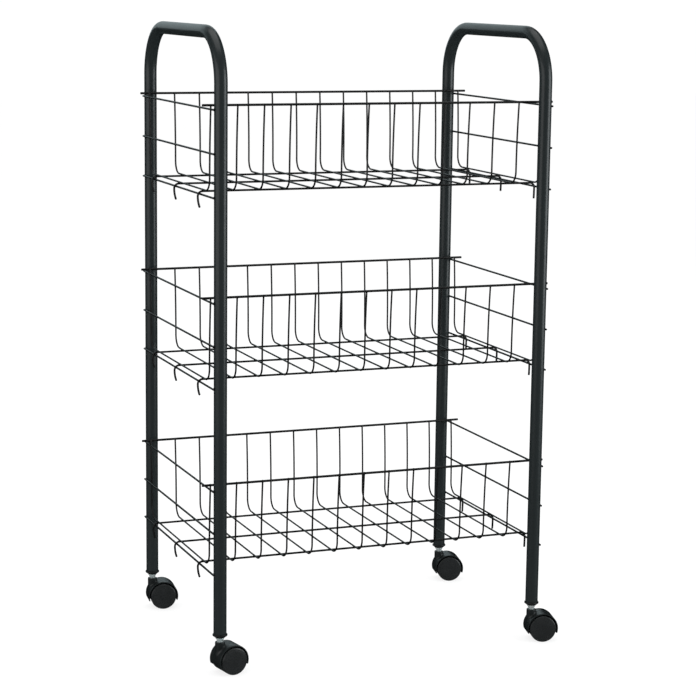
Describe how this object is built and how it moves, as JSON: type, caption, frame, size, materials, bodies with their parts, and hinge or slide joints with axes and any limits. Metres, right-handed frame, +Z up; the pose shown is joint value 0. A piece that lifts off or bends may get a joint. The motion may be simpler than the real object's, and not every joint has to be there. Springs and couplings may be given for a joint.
{
  "type": "rolling utility cart",
  "caption": "Rolling utility cart: wire baskets hooked between bent tube end frames with guard wires, on hooded swivel casters.",
  "frame": {"origin": "on the floor, midway between the four legs", "axes": "+X along the baskets to the right end frame, +Y from the front to the rear, +Z up"},
  "size_m": [0.4732, 0.3327, 0.781],
  "materials": {
    "frame_coat": "satin dark grey powder coat",
    "wire_coat": "satin black powder coat",
    "plug_plastic": "moulded, fine grain",
    "hood_plastic": "moulded, satin",
    "wheel_plastic": "moulded, satin",
    "zinc_steel": "bright zinc plate"
  },
  "bodies": {
    "cart": {"left_frame_tube": "frame_coat", "right_frame_tube": "frame_coat", "left_bottom_guard_wires": "wire_coat", "left_middle_guard_wires": "wire_coat", "left_top_guard_wires": "wire_coat", "right_bottom_guard_wires": "wire_coat", "right_middle_guard_wires": "wire_coat", "right_top_guard_wires": "wire_coat", "bottom_basket_front_rim": "wire_coat", "bottom_basket_rear_rim": "wire_coat", "bottom_basket_ribs": "wire_coat", "bottom_basket_front_floor_wire": "wire_coat", "bottom_basket_middle_floor_wire": "wire_coat", "bottom_basket_rear_floor_wire": "wire_coat", "middle_basket_front_rim": "wire_coat", "middle_basket_rear_rim": "wire_coat", "middle_basket_ribs": "wire_coat", "middle_basket_front_floor_wire": "wire_coat", "middle_basket_middle_floor_wire": "wire_coat", "middle_basket_rear_floor_wire": "wire_coat", "top_basket_front_rim": "wire_coat", "top_basket_rear_rim": "wire_coat", "top_basket_ribs": "wire_coat", "top_basket_front_floor_wire": "wire_coat", "top_basket_middle_floor_wire": "wire_coat", "top_basket_rear_floor_wire": "wire_coat", "front_left_leg_plug": "plug_plastic", "front_left_stem": "zinc_steel", "front_left_grip_ring": "zinc_steel", "front_right_leg_plug": "plug_plastic", "front_right_stem": "zinc_steel", "front_right_grip_ring": "zinc_steel", "rear_left_leg_plug": "plug_plastic", "rear_left_stem": "zinc_steel", "rear_left_grip_ring": "zinc_steel", "rear_right_leg_plug": "plug_plastic", "rear_right_stem": "zinc_steel", "rear_right_grip_ring": "zinc_steel"},
    "front_left_swivel": {"front_left_hood": "hood_plastic", "front_left_axle": "zinc_steel"},
    "front_left_front_wheel_body": {"front_left_wheel_front": "wheel_plastic"},
    "front_left_rear_wheel_body": {"front_left_wheel_rear": "wheel_plastic"},
    "front_right_swivel": {"front_right_hood": "hood_plastic", "front_right_axle": "zinc_steel"},
    "front_right_front_wheel_body": {"front_right_wheel_front": "wheel_plastic"},
    "front_right_rear_wheel_body": {"front_right_wheel_rear": "wheel_plastic"},
    "rear_left_swivel": {"rear_left_hood": "hood_plastic", "rear_left_axle": "zinc_steel"},
    "rear_left_front_wheel_body": {"rear_left_wheel_front": "wheel_plastic"},
    "rear_left_rear_wheel_body": {"rear_left_wheel_rear": "wheel_plastic"},
    "rear_right_swivel": {"rear_right_hood": "hood_plastic", "rear_right_axle": "zinc_steel"},
    "rear_right_front_wheel_body": {"rear_right_wheel_front": "wheel_plastic"},
    "rear_right_rear_wheel_body": {"rear_right_wheel_rear": "wheel_plastic"}
  },
  "joints": [
    {"name": "front_left_swivel_turn", "type": "hinge", "parent": "cart", "child": "front_left_swivel", "pos_m": [-0.21, -0.148, 0.0406], "axis": [0, 0, 1], "continuous": true},
    {"name": "front_left_wheel_front_spin", "type": "hinge", "parent": "front_left_swivel", "child": "front_left_front_wheel_body", "pos_m": [-0.19724, -0.14552, 0.017], "axis": [-0.1908, 0.9816, 0], "continuous": true},
    {"name": "front_left_wheel_rear_spin", "type": "hinge", "parent": "front_left_swivel", "child": "front_left_rear_wheel_body", "pos_m": [-0.19724, -0.14552, 0.017], "axis": [-0.1908, 0.9816, 0], "continuous": true},
    {"name": "front_right_swivel_turn", "type": "hinge", "parent": "cart", "child": "front_right_swivel", "pos_m": [0.21, -0.148, 0.0406], "axis": [0, 0, 1], "continuous": true},
    {"name": "front_right_wheel_front_spin", "type": "hinge", "parent": "front_right_swivel", "child": "front_right_front_wheel_body", "pos_m": [0.22267, -0.15092, 0.017], "axis": [0.225, 0.9744, 0], "continuous": true},
    {"name": "front_right_wheel_rear_spin", "type": "hinge", "parent": "front_right_swivel", "child": "front_right_rear_wheel_body", "pos_m": [0.22267, -0.15092, 0.017], "axis": [0.225, 0.9744, 0], "continuous": true},
    {"name": "rear_left_swivel_turn", "type": "hinge", "parent": "cart", "child": "rear_left_swivel", "pos_m": [-0.21, 0.148, 0.0406], "axis": [0, 0, 1], "continuous": true},
    {"name": "rear_left_wheel_front_spin", "type": "hinge", "parent": "rear_left_swivel", "child": "rear_left_front_wheel_body", "pos_m": [-0.1971, 0.14642, 0.017], "axis": [0.1219, 0.9925, 0], "continuous": true},
    {"name": "rear_left_wheel_rear_spin", "type": "hinge", "parent": "rear_left_swivel", "child": "rear_left_rear_wheel_body", "pos_m": [-0.1971, 0.14642, 0.017], "axis": [0.1219, 0.9925, 0], "continuous": true},
    {"name": "rear_right_swivel_turn", "type": "hinge", "parent": "cart", "child": "rear_right_swivel", "pos_m": [0.21, 0.148, 0.0406], "axis": [0, 0, 1], "continuous": true},
    {"name": "rear_right_wheel_front_spin", "type": "hinge", "parent": "rear_right_swivel", "child": "rear_right_front_wheel_body", "pos_m": [0.22272, 0.1453, 0.017], "axis": [0.2079, 0.9781, 0], "continuous": true},
    {"name": "rear_right_wheel_rear_spin", "type": "hinge", "parent": "rear_right_swivel", "child": "rear_right_rear_wheel_body", "pos_m": [0.22272, 0.1453, 0.017], "axis": [0.2079, 0.9781, 0], "continuous": true}
  ]
}
